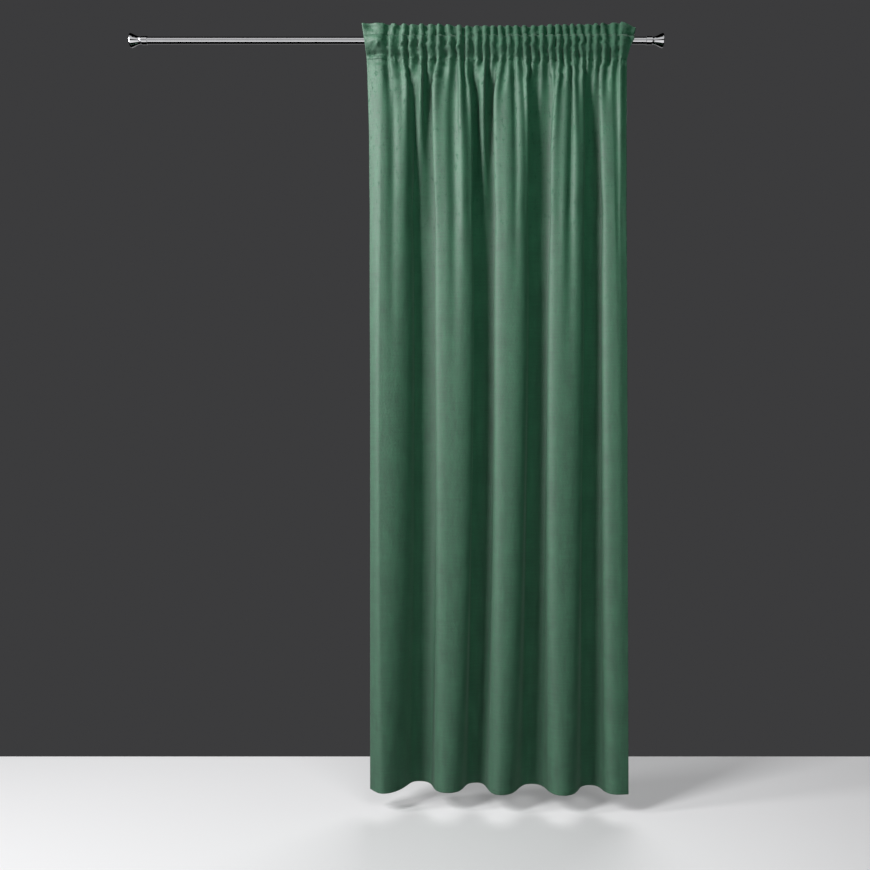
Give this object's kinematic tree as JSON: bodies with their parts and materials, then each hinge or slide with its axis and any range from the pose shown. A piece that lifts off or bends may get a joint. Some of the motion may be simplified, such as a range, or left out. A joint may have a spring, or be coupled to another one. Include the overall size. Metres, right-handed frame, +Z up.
{
  "type": "velvet curtain panel on a curtain rod",
  "caption": "Straight-hanging velvet curtain panel, gathered by its own rod pocket with a ruffle above, on a round chrome curtain rod with flared finials.",
  "frame": {"origin": "on the rod's axis at the middle of the rod's length", "axes": "+Z up, +X along the rod to the right as seen from the room, -Y towards the room"},
  "size_m": [1.8784, 0.1401, 2.7004],
  "materials": {
    "velvet": "short green pile, softly lustrous",
    "chrome": "polished"
  },
  "bodies": {
    "root": {"velvet_panel": "velvet", "pole": "chrome", "finial_left": "chrome", "finial_right": "chrome"}
  },
  "joints": []
}
